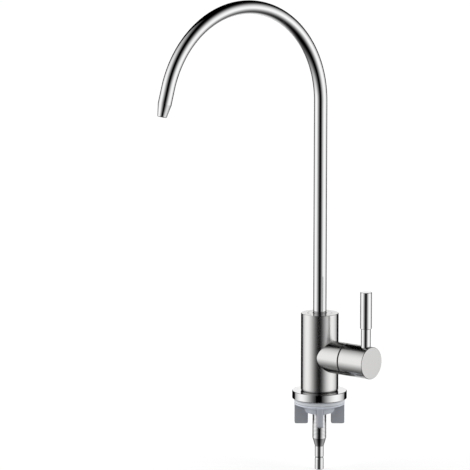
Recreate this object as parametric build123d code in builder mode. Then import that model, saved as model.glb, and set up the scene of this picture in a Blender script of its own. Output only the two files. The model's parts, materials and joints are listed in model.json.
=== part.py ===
from build123d import *

import os
from math import cos, radians, sin, sqrt

# Drinking water filter tap: gooseneck spout, upright body with a side valve, quarter-turn
# handle, deck flange and a threaded shank with its wing nut. Millimetres.
# The deck plane is z = 0, the body and the spout's swivel stand on the Z axis, and the
# handle turns about a line parallel to X. The spout is drawn where the photograph has it.

# Body, on the escutcheon, with the side port that carries the valve
body_r = 13.5
body_height = 56.6
body_foot_round = 1.2
body_top_break = 0.25
handle_z = 31.35
port_r = 11.55
port_end_x = 25.4
port_break = 0.3
inlet_bore_r = 1.9
outlet_passage_x = 5.0
outlet_passage_r = 1.6
chamber_web = 2.6
shank_socket_depth = 11.5

# Spout tube: riser, arch and swaged outlet
tube_r = 4.75
tube_wall = 1.0
riser_top_z = 215.1
arch_r = 70.9
arch_sweep = 164.3
outlet_straight_length = 11.1
outlet_swage_length = 8.9
outlet_swage = 1.55
spout_heading = -98.9

# Spout's foot: a sleeve on the tube, with a shoulder that a collar traps
spigot_wall = 1.95
spigot_lift = 1.0
spigot_lead = 0.6
shoulder_rim = 0.8
shoulder_height = 1.6
spout_groove_width = 2.3
spout_groove_depth = 1.4
spout_groove_gap = 2.2
slip_height = 0.8
collar_height = 3.6
collar_rim = 1.3
tube_gap = 0.35

# Cartridge, from its seat outward along X
pocket_floor_x = 3.0
seal_height = 2.2
seal_hole_r = 2.6
disc_r = 5.3
disc_height = 2.5
disc_port_inner_r = 1.3
disc_port_outer_r = 4.2
disc_port_angle = 70.0
disc_slot_width = 2.4
disc_slot_depth = 1.1
housing_wall = 0.95
housing_front_gap = 0.5
housing_step = 0.7
housing_thread_length = 9.5
window_width = 4.6
window_length = 2.6
cartridge_groove_width = 1.9
cartridge_groove_depth = 1.1
hex_across_flats = 15.0
hex_height = 3.2
hex_break = 0.5

# Spindle, its seal, its clip and its stop
spindle_r = 3.9
spindle_head_height = 2.6
spindle_groove_width = 1.9
spindle_groove_depth = 1.1
spindle_groove_inset = 4.5
spindle_end_step = 0.5
spindle_end_length = 6.2
spindle_flat_depth = 0.7
spindle_break = 0.4
clip_groove_depth = 0.6
clip_height = 0.8
clip_rim = 2.6
clip_opening = 4.4
quarter_turn = 90.0
stop_lug_reach = 2.0
stop_lug_angle = 40.0
stop_margin_angle = 2.0
stop_height = 1.5

# Handle cap, glide ring, lever and grub screw
cap_length = 21.6
cap_break = 0.45
groove_width = 0.9
groove_depth = 0.85
cap_pocket_clearance = 0.54
cap_pocket_end_gap = 1.15
lever_inset = 5.4
lever_lower_r = 3.5
lever_upper_r = 4.15
lever_step_height = 24.25
lever_height = 50.65
lever_seat_depth = 0.5
lever_tenon_r = 2.5
lever_tenon_length = 5.6
lever_break = 0.4
grub_r = 2.0
grub_inset = 3.8
grub_recess = 1.4
grub_socket_flats = 2.0
grub_socket_depth = 2.4

# Escutcheon and its gasket
escutcheon_r = 19.65
escutcheon_height = 5.5
escutcheon_round = 0.5
escutcheon_foot_break = 0.2
rim_width = 1.35
gasket_recess_depth = 1.6
gasket_inset = 0.1
gasket_hole_r = 9.0

# Shank below the deck plane: thread, taper and stub
shank_r = 5.0
shank_bore_r = 2.2
shank_lead = 0.6
shank_thread_length = 29.3
shank_taper_length = 6.3
shank_seal_height = 1.7
stub_r = 3.175
stub_length = 17.1
stub_end_break = 0.4
stub_neck_height = 8.6
stub_neck_width = 2.1
stub_neck_depth = 0.3

# Under the deck: rubber washer and wing nut
washer_inset = 0.1
washer_height = 3.0
washer_round = 0.4
washer_drop = 0.3
nut_rim_height = 1.0
nut_rim_round = 0.4
nut_dish_height = 2.65
nut_hub_r = 10.7
nut_hub_side = 0.2
nut_hub_round = 4.2
nut_wing_inner_r = 8.3
nut_wing_inset = 0.2
nut_wing_height = 14.3
nut_wing_width = 4.4
nut_wing_round = 1.2
nut_wing_flare = 2.2
nut_wing_count = 4
nut_wing_heading = 41.1
nut_thread_lead = 0.6

# Clearances between pieces, and the overrun of every cut
running_fit = 0.05
thread_fit = 0.03
seat_fit = 0.02
seal_fit = 0.04
shank_hole_clearance = 0.25
washer_hole_clearance = 0.3
nut_face_clearance = 0.05
overrun = 5.0

# Worked out: the valve's radii, then its places along X
full_turn = 4 * quarter_turn
cavity_r = disc_r + running_fit
housing_front_r = cavity_r + housing_wall
housing_thread_r = housing_front_r + housing_step
pocket_r = housing_thread_r + running_fit
housing_bore_r = spindle_r + running_fit
spindle_end_r = spindle_r - spindle_end_step
spindle_flat = spindle_end_r - spindle_flat_depth
clip_groove_r = spindle_end_r - clip_groove_depth
clip_r = clip_groove_r + clip_rim
stop_lug_r = spindle_r + stop_lug_reach
hex_corner_r = hex_across_flats / sqrt(3)
seal_end_x = pocket_floor_x + seal_height
moving_disc_start_x = seal_end_x + disc_height + seat_fit
moving_disc_end_x = moving_disc_start_x + disc_height
spindle_head_x = moving_disc_end_x + seat_fit
spindle_neck_x = spindle_head_x + spindle_head_height
housing_front_x = pocket_floor_x + housing_front_gap
cavity_end_x = spindle_neck_x + running_fit
hex_top_x = port_end_x + hex_height
stop_floor_x = hex_top_x - stop_height
spindle_groove_x = stop_floor_x - spindle_groove_inset
housing_groove_x = port_end_x - housing_thread_length - cartridge_groove_width
clip_x = hex_top_x + running_fit

# Worked out: the handle
cap_r = port_r
cap_start_x = port_end_x + groove_width
cap_end_x = cap_start_x + cap_length
cap_pocket_r = hex_corner_r + cap_pocket_clearance
cap_pocket_end_x = clip_x + clip_height + cap_pocket_end_gap
spindle_end_x = cap_pocket_end_x + spindle_end_length
cap_bore_end_x = spindle_end_x + spindle_break
lever_x = cap_end_x - lever_inset
lever_seat_z = handle_z + sqrt(cap_r**2 - lever_lower_r**2) - lever_seat_depth
lever_tenon_end_z = lever_seat_z - lever_tenon_length
lever_step_z = handle_z + lever_step_height
lever_top_z = handle_z + lever_height
grub_x = cap_pocket_end_x + grub_inset
grub_tip_z = handle_z - spindle_flat - seat_fit
grub_head_z = handle_z - cap_r + grub_recess

# Worked out: the body's chambers and the spout's foot
body_top_z = escutcheon_height + body_height
chamber_floor_z = handle_z + pocket_r + chamber_web
tube_bore_r = tube_r - tube_wall
outlet_r = tube_r - outlet_swage
spigot_r = tube_r + spigot_wall
shoulder_r = spigot_r + shoulder_rim
collar_r = shoulder_r + collar_rim
chamber_r = spigot_r + running_fit
spigot_bottom_z = chamber_floor_z + spigot_lift
tube_foot_z = spigot_bottom_z + spigot_lead
collar_bottom_z = body_top_z - collar_height
slip_bottom_z = collar_bottom_z - seat_fit - slip_height
shoulder_top_z = slip_bottom_z - running_fit
shoulder_bottom_z = shoulder_top_z - shoulder_height
spout_land = (shoulder_bottom_z - spigot_bottom_z - 2 * spout_groove_width - spout_groove_gap) / 2
lower_ring_z = spigot_bottom_z + spout_land + spout_groove_width / 2
upper_ring_z = lower_ring_z + spout_groove_width + spout_groove_gap
spout_direction = (cos(radians(spout_heading)), sin(radians(spout_heading)), 0)
socket_floor_z = escutcheon_height + shank_socket_depth
shank_top_z = socket_floor_z - shank_seal_height

# Worked out: below the escutcheon
gasket_r = escutcheon_r - rim_width
washer_r = gasket_r - washer_inset
taper_end_z = -shank_thread_length - shank_taper_length
stub_end_z = taper_end_z - stub_length
stub_neck_z = stub_end_z + stub_neck_height
stub_neck_top_z = stub_neck_z + stub_neck_width / 2
stub_neck_bottom_z = stub_neck_z - stub_neck_width / 2
nut_top_z = -washer_drop - washer_height - nut_face_clearance
nut_rim_bottom_z = nut_top_z - nut_rim_height
nut_dish_bottom_z = nut_rim_bottom_z - nut_dish_height
nut_hub_side_bottom_z = nut_dish_bottom_z - nut_hub_side
nut_hub_bottom_z = nut_hub_side_bottom_z - nut_hub_round
nut_wing_top_z = nut_rim_bottom_z + nut_rim_round
nut_wing_bottom_z = nut_rim_bottom_z - nut_wing_height
nut_wing_outer_r = washer_r - nut_wing_inset

# Planes of the valve's sections: across its axis, and along it
valve_side = Plane(origin=(0, 0, handle_z), x_dir=(1, 0, 0), z_dir=(0, -1, 0))
valve_axis = Axis((0, 0, handle_z), (1, 0, 0))


def across_valve(x):
    """Plane across the valve's axis at x, with its own x up and its normal outward."""
    return Plane(origin=(x, 0, handle_z), x_dir=(0, 0, 1), z_dir=(1, 0, 0))


def ring_profile(height, middle_r, section_r):
    """Round section of an O-ring on the tap's axis, to be revolved."""
    with BuildSketch(Plane.XZ) as profile:
        with Locations((middle_r, height)):
            Circle(section_r)
    return profile.sketch


def valve_profile(points):
    """Half section of a turned piece on the valve's axis, from (x, radius) points."""
    with BuildSketch(valve_side) as profile:
        with BuildLine():
            Polyline(*points, close=True)
        make_face()
    return profile.sketch


def turned_profile(points):
    """Half section of a turned piece on the tap's axis, from (radius, z) points."""
    with BuildSketch(Plane.XZ) as profile:
        with BuildLine():
            Polyline(*points, close=True)
        make_face()
    return profile.sketch


# Tap body: upright bar and side port, with the chambers and passages that carry the water
with BuildPart() as tap_body:
    with BuildSketch(Plane.XY.offset(escutcheon_height)):
        Circle(body_r)
    extrude(amount=body_height)
    fillet(tap_body.edges().sort_by(Axis.Z)[0], body_foot_round)
    chamfer(tap_body.edges().sort_by(Axis.Z)[-1], body_top_break)
    with BuildSketch(across_valve(0)):
        Circle(port_r)
    extrude(amount=port_end_x)
    port_rim = tap_body.edges().filter_by(GeomType.CIRCLE).sort_by(Axis.X)[-1]
    chamfer(port_rim, port_break)
    # spout chamber, the shoulder's recess and the collar's thread, from the top
    with BuildSketch(Plane.XY.offset(chamber_floor_z)):
        Circle(chamber_r)
    extrude(amount=body_top_z + overrun - chamber_floor_z, mode=Mode.SUBTRACT)
    shoulder_floor_z = shoulder_bottom_z - running_fit
    with BuildSketch(Plane.XY.offset(shoulder_floor_z)):
        Circle(shoulder_r + running_fit)
    extrude(amount=body_top_z + overrun - shoulder_floor_z, mode=Mode.SUBTRACT)
    with BuildSketch(Plane.XY.offset(collar_bottom_z)):
        Circle(collar_r + thread_fit)
    extrude(amount=collar_height + overrun, mode=Mode.SUBTRACT)
    # cartridge pocket, from the port's end
    with BuildSketch(across_valve(pocket_floor_x)):
        Circle(pocket_r)
    extrude(amount=port_end_x + overrun - pocket_floor_x, mode=Mode.SUBTRACT)
    # socket for the shank, and the inlet passage that turns into the pocket's floor
    with BuildSketch(Plane.XY.offset(socket_floor_z)):
        Circle(shank_r + thread_fit)
    extrude(amount=-(shank_socket_depth + overrun), mode=Mode.SUBTRACT)
    with BuildSketch(Plane.XY.offset(socket_floor_z)):
        Circle(inlet_bore_r)
    extrude(amount=handle_z - socket_floor_z, mode=Mode.SUBTRACT)
    with BuildSketch(across_valve(0)):
        Circle(inlet_bore_r)
    extrude(amount=pocket_floor_x, mode=Mode.SUBTRACT)
    # outlet passage from the pocket up to the spout chamber
    with BuildSketch(Plane.XY.offset(chamber_floor_z)):
        with Locations((outlet_passage_x, 0)):
            Circle(outlet_passage_r)
    extrude(amount=handle_z - chamber_floor_z, mode=Mode.SUBTRACT)
tap_body.part.label = "tap_body"

# Spout tube: riser, arch and straight outlet, swaged to a narrow tip
with BuildPart() as spout_tube:
    with BuildLine(
        Plane(origin=(0, 0, 0), x_dir=spout_direction, z_dir=Vector(spout_direction).cross(Vector(0, 0, 1)))
    ) as route:
        riser = Line((0, tube_foot_z), (0, riser_top_z))
        arch = JernArc(riser @ 1, riser % 1, arch_r, -arch_sweep)
        outlet = Line(arch @ 1, arch @ 1 + (arch % 1) * outlet_straight_length)
    with BuildSketch(Plane(origin=riser @ 0, z_dir=riser % 0)):
        Circle(tube_r)
        Circle(tube_bore_r, mode=Mode.SUBTRACT)
    sweep(path=route.line)
    swage_start = Plane(origin=outlet @ 1, z_dir=outlet % 1)
    with BuildSketch(swage_start):
        Circle(tube_r)
    with BuildSketch(swage_start.offset(outlet_swage_length)):
        Circle(outlet_r)
    loft()
    with BuildSketch(swage_start):
        Circle(tube_bore_r)
    with BuildSketch(swage_start.offset(outlet_swage_length)):
        Circle(outlet_r - tube_wall)
    loft(mode=Mode.SUBTRACT)
spout_tube.part.label = "spout_tube"

# Spigot: sleeve on the tube's foot, with its shoulder and two seal grooves
with BuildPart() as spout_spigot:
    add(
        turned_profile(
            [
                (tube_r + seat_fit, tube_foot_z),
                (tube_r + seat_fit, shoulder_top_z),
                (shoulder_r, shoulder_top_z),
                (shoulder_r, shoulder_bottom_z),
                (spigot_r, shoulder_bottom_z),
                (spigot_r, spigot_bottom_z + spigot_lead),
                (spigot_r - spigot_lead, spigot_bottom_z),
                (tube_bore_r, spigot_bottom_z),
                (tube_bore_r, tube_foot_z),
            ]
        )
    )
    revolve(axis=Axis.Z)
    for ring_z in (lower_ring_z, upper_ring_z):
        with BuildSketch(Plane.XY.offset(ring_z - spout_groove_width / 2)):
            Circle(spigot_r + overrun)
            Circle(spigot_r - spout_groove_depth, mode=Mode.SUBTRACT)
        extrude(amount=spout_groove_width, mode=Mode.SUBTRACT)
spout_spigot.part.label = "spout_spigot"

# The spout's two O-rings, pressed between the groove's floor and the chamber's wall
spout_ring_section_r = (spout_groove_depth + running_fit - 2 * seal_fit) / 2
spout_ring_middle_r = chamber_r - seal_fit - spout_ring_section_r
with BuildPart() as spout_o_ring_lower:
    add(ring_profile(lower_ring_z, spout_ring_middle_r, spout_ring_section_r))
    revolve(axis=Axis.Z)
spout_o_ring_lower.part.label = "spout_o_ring_lower"

with BuildPart() as spout_o_ring_upper:
    add(ring_profile(upper_ring_z, spout_ring_middle_r, spout_ring_section_r))
    revolve(axis=Axis.Z)
spout_o_ring_upper.part.label = "spout_o_ring_upper"

# Slip washer: low-friction ring between the turning shoulder and the collar
with BuildPart() as slip_washer:
    with BuildSketch(Plane.XY.offset(slip_bottom_z)):
        Circle(shoulder_r)
        Circle(tube_r + tube_gap, mode=Mode.SUBTRACT)
    extrude(amount=slip_height)
slip_washer.part.label = "slip_washer"

# Collar: gland ring screwed flush into the body's top
with BuildPart() as spout_collar:
    with BuildSketch(Plane.XY.offset(collar_bottom_z)):
        Circle(collar_r)
        Circle(tube_r + tube_gap, mode=Mode.SUBTRACT)
    extrude(amount=collar_height)
    chamfer(spout_collar.edges().group_by(Axis.Z)[-1], body_top_break)
spout_collar.part.label = "spout_collar"

# Cartridge housing: threaded headpart, open at its mouth, with outlet windows, hexagon,
# and the sector in its nose in which the spindle's lug turns
with BuildPart() as cartridge_housing:
    add(
        valve_profile(
            [
                (housing_front_x, cavity_r),
                (housing_front_x, housing_front_r),
                (housing_groove_x - cartridge_groove_width, housing_front_r),
                (housing_groove_x - cartridge_groove_width, housing_thread_r - thread_fit),
                (housing_groove_x, housing_thread_r - thread_fit),
                (housing_groove_x, housing_thread_r - cartridge_groove_depth),
                (housing_groove_x + cartridge_groove_width, housing_thread_r - cartridge_groove_depth),
                (housing_groove_x + cartridge_groove_width, housing_thread_r),
                (port_end_x, housing_thread_r),
                (port_end_x, housing_bore_r),
                (cavity_end_x, housing_bore_r),
                (cavity_end_x, cavity_r),
            ]
        )
    )
    revolve(axis=valve_axis)
    with BuildSketch(across_valve(port_end_x)):
        RegularPolygon(hex_across_flats / 2, 6, major_radius=False)
        Circle(housing_bore_r, mode=Mode.SUBTRACT)
    extrude(amount=hex_height)
    chamfer(cartridge_housing.faces().sort_by(Axis.X)[-1].outer_wire().edges(), hex_break)
    # outlet windows opposite the moving disc
    window_x = (moving_disc_start_x + moving_disc_end_x) / 2
    with BuildSketch(Plane.XY.offset(handle_z)):
        with Locations((window_x, 0)):
            Rectangle(window_length, 2 * (housing_front_r + overrun))
    extrude(amount=window_width / 2, both=True, mode=Mode.SUBTRACT)
    with BuildSketch(Plane.XZ):
        with Locations((window_x, handle_z)):
            Rectangle(window_length, 2 * (housing_front_r + overrun))
    extrude(amount=window_width / 2, both=True, mode=Mode.SUBTRACT)
    # stop sector: the lug's own angle, the quarter turn, and a margin at each end
    with BuildSketch(across_valve(stop_floor_x)):
        with BuildLine():
            sector_start = -stop_lug_angle / 2 - stop_margin_angle
            sector_turn = stop_lug_angle + quarter_turn + 2 * stop_margin_angle
            outer_arc = CenterArc((0, 0), stop_lug_r + running_fit, sector_start, sector_turn)
            Line((0, 0), outer_arc @ 0)
            Line((0, 0), outer_arc @ 1)
        make_face()
    extrude(amount=stop_height + overrun, mode=Mode.SUBTRACT)
cartridge_housing.part.label = "cartridge_housing"

# Rubber seat between the pocket's floor and the fixed disc
with BuildPart() as cartridge_seal:
    with BuildSketch(across_valve(pocket_floor_x)):
        Circle(disc_r)
        Circle(seal_hole_r, mode=Mode.SUBTRACT)
    extrude(amount=seal_height)
cartridge_seal.part.label = "cartridge_seal"

# O-ring of the cartridge, in its groove against the pocket's wall
cartridge_ring_gap = pocket_r - (housing_thread_r - cartridge_groove_depth)
cartridge_ring_section_r = (cartridge_ring_gap - 2 * seal_fit) / 2
with BuildPart() as cartridge_o_ring:
    with BuildSketch(valve_side):
        with Locations((housing_groove_x + cartridge_groove_width / 2, pocket_r - cartridge_ring_gap / 2)):
            Circle(cartridge_ring_section_r)
    revolve(axis=valve_axis)
cartridge_o_ring.part.label = "cartridge_o_ring"


def disc_ports(plane, turn):
    """Two opposite sector ports of a ceramic disc, on the plane, turned about its centre."""
    with BuildSketch(plane) as ports:
        for middle in (turn, turn + full_turn / 2):
            with BuildLine():
                start = middle - disc_port_angle / 2
                outer = CenterArc((0, 0), disc_port_outer_r, start, disc_port_angle)
                inner = CenterArc((0, 0), disc_port_inner_r, start, disc_port_angle)
                Line(outer @ 0, inner @ 0)
                Line(outer @ 1, inner @ 1)
            make_face()
    return ports.sketch


# Ceramic discs: shut at rest, with the moving disc's ports a quarter turn from the fixed ones
with BuildPart() as fixed_disc:
    with BuildSketch(across_valve(seal_end_x)):
        Circle(disc_r)
    extrude(amount=disc_height)
    extrude(disc_ports(across_valve(seal_end_x), 0), amount=disc_height, mode=Mode.SUBTRACT)
fixed_disc.part.label = "fixed_disc"

with BuildPart() as moving_disc:
    with BuildSketch(across_valve(moving_disc_start_x)):
        Circle(disc_r)
    extrude(amount=disc_height)
    turned_ports = disc_ports(across_valve(moving_disc_start_x), quarter_turn)
    extrude(turned_ports, amount=disc_height, mode=Mode.SUBTRACT)
    with BuildSketch(across_valve(moving_disc_end_x)):
        Rectangle(disc_slot_width, 2 * (disc_r + overrun))
    extrude(amount=-disc_slot_depth, mode=Mode.SUBTRACT)
moving_disc.part.label = "moving_disc"

# Spindle: driving tang, head, sealed neck, stop lug, clip groove and double-D end
with BuildPart() as spindle:
    add(
        valve_profile(
            [
                (spindle_head_x, 0),
                (spindle_head_x, disc_r),
                (spindle_neck_x, disc_r),
                (spindle_neck_x, spindle_r),
                (spindle_groove_x, spindle_r),
                (spindle_groove_x, spindle_r - spindle_groove_depth),
                (spindle_groove_x + spindle_groove_width, spindle_r - spindle_groove_depth),
                (spindle_groove_x + spindle_groove_width, spindle_r),
                (clip_x, spindle_r),
                (clip_x, clip_groove_r),
                (clip_x + clip_height, clip_groove_r),
                (clip_x + clip_height, spindle_end_r),
                (spindle_end_x - spindle_break, spindle_end_r),
                (spindle_end_x, spindle_end_r - spindle_break),
                (spindle_end_x, 0),
            ]
        )
    )
    revolve(axis=valve_axis)
    with BuildSketch(across_valve(spindle_head_x)):
        Rectangle(disc_slot_width - 2 * seat_fit, 2 * disc_r)
        Circle(disc_r - seat_fit, mode=Mode.INTERSECT)
    extrude(amount=-(disc_slot_depth - seat_fit))
    with BuildSketch(across_valve(stop_floor_x + running_fit)):
        with BuildLine():
            lug_arc = CenterArc((0, 0), stop_lug_r, -stop_lug_angle / 2, stop_lug_angle)
            Line((0, 0), lug_arc @ 0)
            Line((0, 0), lug_arc @ 1)
        make_face()
    extrude(amount=stop_height - running_fit)
    flat_start_x = clip_x + 2 * clip_height
    for side in (-1, 1):
        with BuildSketch(across_valve(flat_start_x)):
            with Locations((side * (spindle_flat + spindle_end_r), 0)):
                Rectangle(2 * spindle_end_r, 2 * spindle_end_r)
        extrude(amount=spindle_end_x + overrun - flat_start_x, mode=Mode.SUBTRACT)
spindle.part.label = "spindle"

# O-ring on the spindle's neck
spindle_ring_section_r = (spindle_groove_depth + running_fit - 2 * seal_fit) / 2
with BuildPart() as spindle_o_ring:
    with BuildSketch(valve_side):
        with Locations(
            (spindle_groove_x + spindle_groove_width / 2, housing_bore_r - seal_fit - spindle_ring_section_r)
        ):
            Circle(spindle_ring_section_r)
    revolve(axis=valve_axis)
spindle_o_ring.part.label = "spindle_o_ring"

# Open retaining ring in the spindle's groove, over the nose of the housing
with BuildPart() as spindle_clip:
    with BuildSketch(across_valve(clip_x + seat_fit)):
        Circle(clip_r)
        Circle(clip_groove_r + seat_fit, mode=Mode.SUBTRACT)
        with Locations((0, clip_r)):
            Rectangle(clip_opening, 2 * clip_r, mode=Mode.SUBTRACT)
    extrude(amount=clip_height - 2 * seat_fit)
spindle_clip.part.label = "spindle_clip"

# Black glide ring in the groove between the port and the cap
with BuildPart() as glide_ring:
    with BuildSketch(across_valve(port_end_x)):
        Circle(port_r - groove_depth)
        Circle(cap_pocket_r, mode=Mode.SUBTRACT)
    extrude(amount=groove_width - running_fit)
glide_ring.part.label = "glide_ring"

# Handle cap: turned cap with its pocket, double-D bore, lever seat and grub screw hole
with BuildPart() as handle_cap:
    with BuildSketch(across_valve(cap_start_x)):
        Circle(cap_r)
    extrude(amount=cap_length)
    chamfer(handle_cap.edges().group_by(Axis.X)[-1], cap_break)
    chamfer(handle_cap.edges().group_by(Axis.X)[0], port_break)
    with BuildSketch(across_valve(cap_start_x)):
        Circle(cap_pocket_r)
    extrude(amount=cap_pocket_end_x - cap_start_x, mode=Mode.SUBTRACT)
    with BuildSketch(across_valve(cap_start_x)):
        Circle(spindle_end_r + seat_fit)
        Rectangle(2 * (spindle_flat + seat_fit), 2 * (spindle_end_r + overrun), mode=Mode.INTERSECT)
    extrude(amount=cap_bore_end_x - cap_start_x, mode=Mode.SUBTRACT)
    with BuildSketch(Plane.XY.offset(lever_seat_z)):
        with Locations((lever_x, 0)):
            Circle(lever_lower_r + seat_fit)
    extrude(amount=cap_r, mode=Mode.SUBTRACT)
    with BuildSketch(Plane.XY.offset(lever_tenon_end_z - spindle_break)):
        with Locations((lever_x, 0)):
            Circle(lever_tenon_r + seat_fit)
    extrude(amount=cap_r, mode=Mode.SUBTRACT)
    with BuildSketch(Plane.XY.offset(handle_z)):
        with Locations((grub_x, 0)):
            Circle(grub_r + seat_fit)
    extrude(amount=-(cap_r + overrun), mode=Mode.SUBTRACT)
handle_cap.part.label = "handle_cap"

# Lever: one turned rod, thicker above its step, with a threaded end in the cap
with BuildPart() as lever:
    with BuildSketch(Plane(origin=(lever_x, 0, 0), x_dir=(1, 0, 0), z_dir=(0, -1, 0))):
        with BuildLine():
            Polyline(
                (0, lever_tenon_end_z),
                (lever_tenon_r - lever_break, lever_tenon_end_z),
                (lever_tenon_r, lever_tenon_end_z + lever_break),
                (lever_tenon_r, lever_seat_z),
                (lever_lower_r, lever_seat_z),
                (lever_lower_r, lever_step_z),
                (lever_upper_r, lever_step_z + (lever_upper_r - lever_lower_r) / 2),
                (lever_upper_r, lever_top_z - lever_break),
                (lever_upper_r - lever_break, lever_top_z),
                (0, lever_top_z),
                close=True,
            )
        make_face()
    revolve(axis=Axis((lever_x, 0, 0), (0, 0, 1)))
lever.part.label = "lever"

# Grub screw, up against the spindle's lower flat, with its key socket
with BuildPart() as grub_screw:
    with BuildSketch(Plane.XY.offset(grub_head_z)):
        with Locations((grub_x, 0)):
            Circle(grub_r)
    extrude(amount=grub_tip_z - grub_head_z)
    chamfer(grub_screw.edges().group_by(Axis.Z)[-1], lever_break)
    with BuildSketch(Plane.XY.offset(grub_head_z)):
        with Locations((grub_x, 0)):
            RegularPolygon(grub_socket_flats / 2, 6, major_radius=False)
    extrude(amount=grub_socket_depth, mode=Mode.SUBTRACT)
grub_screw.part.label = "grub_screw"

# Escutcheon: deck flange, with the recess that holds the gasket inside its rim
with BuildPart() as escutcheon:
    with BuildSketch():
        Circle(escutcheon_r)
    extrude(amount=escutcheon_height)
    fillet(escutcheon.edges().sort_by(Axis.Z)[-1], escutcheon_round)
    chamfer(escutcheon.edges().sort_by(Axis.Z)[0], escutcheon_foot_break)
    with BuildSketch():
        Circle(gasket_r)
    extrude(amount=gasket_recess_depth, mode=Mode.SUBTRACT)
    with BuildSketch():
        Circle(shank_r + shank_hole_clearance)
    extrude(amount=escutcheon_height + overrun, mode=Mode.SUBTRACT)
escutcheon.part.label = "escutcheon"

# Gasket that seals the escutcheon to the deck
with BuildPart() as escutcheon_gasket:
    with BuildSketch(Plane.XY.offset(gasket_inset)):
        Circle(gasket_r - seat_fit)
        Circle(gasket_hole_r, mode=Mode.SUBTRACT)
    extrude(amount=gasket_recess_depth - gasket_inset)
escutcheon_gasket.part.label = "escutcheon_gasket"

# Shank: hollow threaded rod, taper and plain stub with its neck
with BuildPart() as threaded_shank:
    add(
        turned_profile(
            [
                (shank_bore_r, shank_top_z),
                (shank_r - shank_lead, shank_top_z),
                (shank_r, shank_top_z - shank_lead),
                (shank_r, -shank_thread_length),
                (stub_r, taper_end_z),
                (stub_r, stub_neck_top_z),
                (stub_r - stub_neck_depth, stub_neck_z),
                (stub_r, stub_neck_bottom_z),
                (stub_r, stub_end_z + stub_end_break),
                (stub_r - stub_end_break, stub_end_z),
                (shank_bore_r, stub_end_z),
            ]
        )
    )
    revolve(axis=Axis.Z)
threaded_shank.part.label = "threaded_shank"

# O-ring between the shank's top face and the floor of its socket
shank_ring_section_r = (shank_seal_height - 2 * seal_fit) / 2
with BuildPart() as shank_o_ring:
    add(
        ring_profile(
            socket_floor_z - shank_seal_height / 2,
            shank_r - shank_ring_section_r - seal_fit,
            shank_ring_section_r,
        )
    )
    revolve(axis=Axis.Z)
shank_o_ring.part.label = "shank_o_ring"

# Rubber washer under the deck
with BuildPart() as under_deck_washer:
    with BuildSketch(Plane.XY.offset(-washer_drop)):
        Circle(washer_r)
        Circle(shank_r + washer_hole_clearance, mode=Mode.SUBTRACT)
    extrude(amount=-washer_height)
    washer_rims = under_deck_washer.edges().filter_by(GeomType.CIRCLE).group_by(SortBy.RADIUS)[-1]
    fillet(washer_rims, washer_round)
under_deck_washer.part.label = "under_deck_washer"

# Wing nut: dished flange, rounded hub and wings, one moulding on the shank's thread
with BuildPart() as wing_nut:
    with BuildSketch(Plane.XZ):
        with BuildLine():
            Polyline(
                (0, nut_top_z),
                (washer_r, nut_top_z),
                (washer_r, nut_rim_bottom_z),
                (nut_hub_r, nut_dish_bottom_z),
                (nut_hub_r, nut_hub_bottom_z),
                (0, nut_hub_bottom_z),
                close=True,
            )
        make_face()
    revolve(axis=Axis.Z)
    fillet(wing_nut.edges().filter_by_position(Axis.Z, nut_rim_bottom_z, nut_rim_bottom_z), nut_rim_round)
    fillet(wing_nut.edges().sort_by(Axis.Z)[0], nut_hub_round)
    for index in range(nut_wing_count):
        heading = nut_wing_heading + index * full_turn / nut_wing_count
        outward = (cos(radians(heading)), sin(radians(heading)), 0)
        wing_plane = Plane(origin=(0, 0, 0), x_dir=outward, z_dir=Vector(outward).cross(Vector(0, 0, 1)))
        with BuildSketch(wing_plane):
            with BuildLine():
                outline = FilletPolyline(
                    (nut_wing_inner_r, nut_wing_top_z),
                    (nut_wing_inner_r, nut_wing_bottom_z),
                    (nut_wing_outer_r, nut_wing_bottom_z),
                    (nut_wing_outer_r, nut_wing_top_z),
                    radius=nut_wing_round,
                )
                Line(outline @ 1, outline @ 0)
            make_face()
        extrude(amount=nut_wing_width / 2, both=True)
    # the wings flare where they leave the hub's upright side
    upright_edges = wing_nut.edges().filter_by(Axis.Z)
    wing_roots = upright_edges.filter_by_position(Axis.Z, nut_hub_side_bottom_z, nut_dish_bottom_z)
    fillet(wing_roots, nut_wing_flare)
    with BuildSketch(Plane.XY.offset(nut_top_z + overrun)):
        Circle(shank_r + running_fit)
    extrude(amount=nut_wing_bottom_z - overrun, mode=Mode.SUBTRACT)
    nut_bore_rims = wing_nut.edges().filter_by(GeomType.CIRCLE).group_by(SortBy.RADIUS)
    thread_rims = [rims for rims in nut_bore_rims if abs(rims[0].radius - shank_r) < 2 * running_fit]
    chamfer(thread_rims[0], nut_thread_lead)
wing_nut.part.label = "wing_nut"

# One STEP file for each piece
pieces = (
    tap_body,
    spout_tube,
    spout_spigot,
    spout_o_ring_lower,
    spout_o_ring_upper,
    slip_washer,
    spout_collar,
    cartridge_housing,
    cartridge_seal,
    cartridge_o_ring,
    fixed_disc,
    moving_disc,
    spindle,
    spindle_o_ring,
    spindle_clip,
    glide_ring,
    handle_cap,
    lever,
    grub_screw,
    escutcheon,
    escutcheon_gasket,
    threaded_shank,
    shank_o_ring,
    under_deck_washer,
    wing_nut,
)
os.makedirs("parts", exist_ok=True)
for piece in pieces:
    export_step(piece.part, f"parts/{piece.part.label}.step")
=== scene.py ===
"""Drinking water filter tap: gooseneck spout, body with a side lever valve, deck flange and threaded shank."""

import json
from math import atan2, cos, pi, radians, sin, sqrt, tan

import bpy
from bpy.props import FloatProperty, FloatVectorProperty, IntProperty, PointerProperty
from mathutils import Matrix, Vector

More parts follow.
